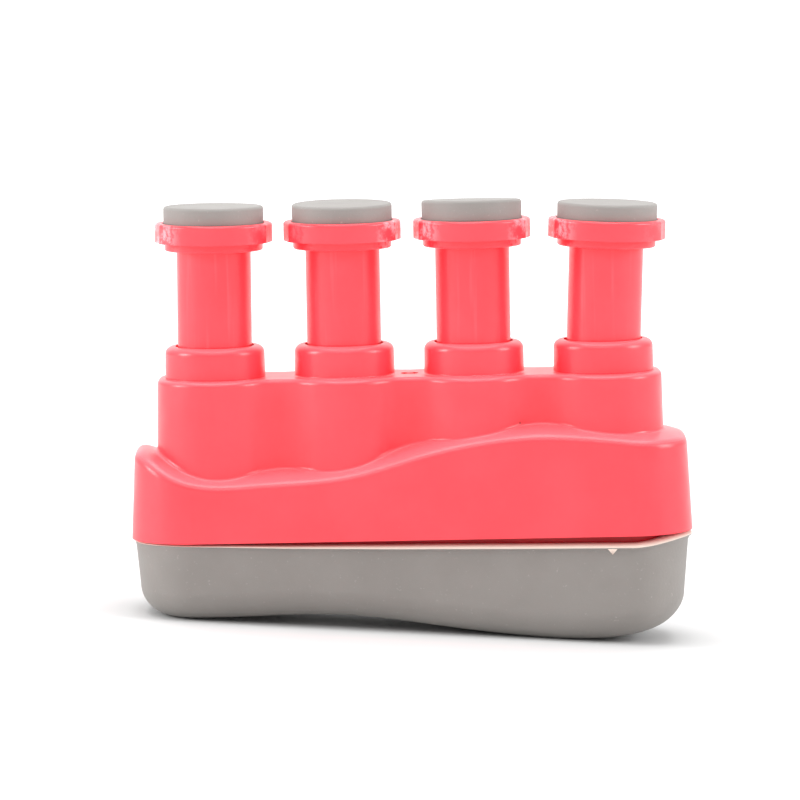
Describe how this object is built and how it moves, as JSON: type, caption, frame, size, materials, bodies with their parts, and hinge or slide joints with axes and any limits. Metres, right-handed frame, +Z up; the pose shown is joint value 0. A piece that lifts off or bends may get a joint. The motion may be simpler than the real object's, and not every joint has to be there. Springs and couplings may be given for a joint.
{
  "type": "finger exerciser",
  "caption": "Hand exerciser with a row of sprung finger buttons in a moulded housing, on a soft contoured palm rest.",
  "frame": {"origin": "the lowest point of the palm rest's height, under the middle of the row of buttons", "axes": "+X along the row of buttons towards the deep end of the palm rest, +Y towards the back, +Z up out of the buttons"},
  "size_m": [0.0952, 0.0286, 0.0748],
  "materials": {
    "pink_plastic": "satin moulded",
    "inner_plastic": "satin moulded",
    "stem_plastic": "satin moulded",
    "cup_plastic": "satin moulded, scuffed at the trimmed flats",
    "grey_grip": "matte soft elastomer",
    "grey_pad": "matte rubber",
    "spring_steel": "drawn wire",
    "screw_steel": "zinc plated"
  },
  "bodies": {
    "frame": {"housing": "pink_plastic", "base_shell": "inner_plastic", "palm_rest": "grey_grip", "base_screws": "screw_steel", "spring_1": "spring_steel", "spring_2": "spring_steel", "spring_3": "spring_steel", "spring_4": "spring_steel"},
    "button_1": {"plunger_1": "stem_plastic", "finger_cup_1": "cup_plastic", "finger_pad_1": "grey_pad"},
    "button_2": {"plunger_2": "stem_plastic", "finger_cup_2": "cup_plastic", "finger_pad_2": "grey_pad"},
    "button_3": {"plunger_3": "stem_plastic", "finger_cup_3": "cup_plastic", "finger_pad_3": "grey_pad"},
    "button_4": {"plunger_4": "stem_plastic", "finger_cup_4": "cup_plastic", "finger_pad_4": "grey_pad"}
  },
  "joints": [
    {"name": "button_1_slide", "type": "slide", "parent": "frame", "child": "button_1", "axis": [-0.0087, 0, -1], "range_m": [0, 0.016], "stiffness_N_per_m": 980, "springref_m": -0.004, "deforming": ["spring_1"]},
    {"name": "button_2_slide", "type": "slide", "parent": "frame", "child": "button_2", "axis": [0, 0, -1], "range_m": [0, 0.016], "stiffness_N_per_m": 980, "springref_m": -0.004, "deforming": ["spring_2"]},
    {"name": "button_3_slide", "type": "slide", "parent": "frame", "child": "button_3", "axis": [0, 0, -1], "range_m": [0, 0.016], "stiffness_N_per_m": 980, "springref_m": -0.004, "deforming": ["spring_3"]},
    {"name": "button_4_slide", "type": "slide", "parent": "frame", "child": "button_4", "axis": [-0.0419, 0, -0.9991], "range_m": [0, 0.0152], "stiffness_N_per_m": 980, "springref_m": -0.004, "deforming": ["spring_4"]}
  ]
}
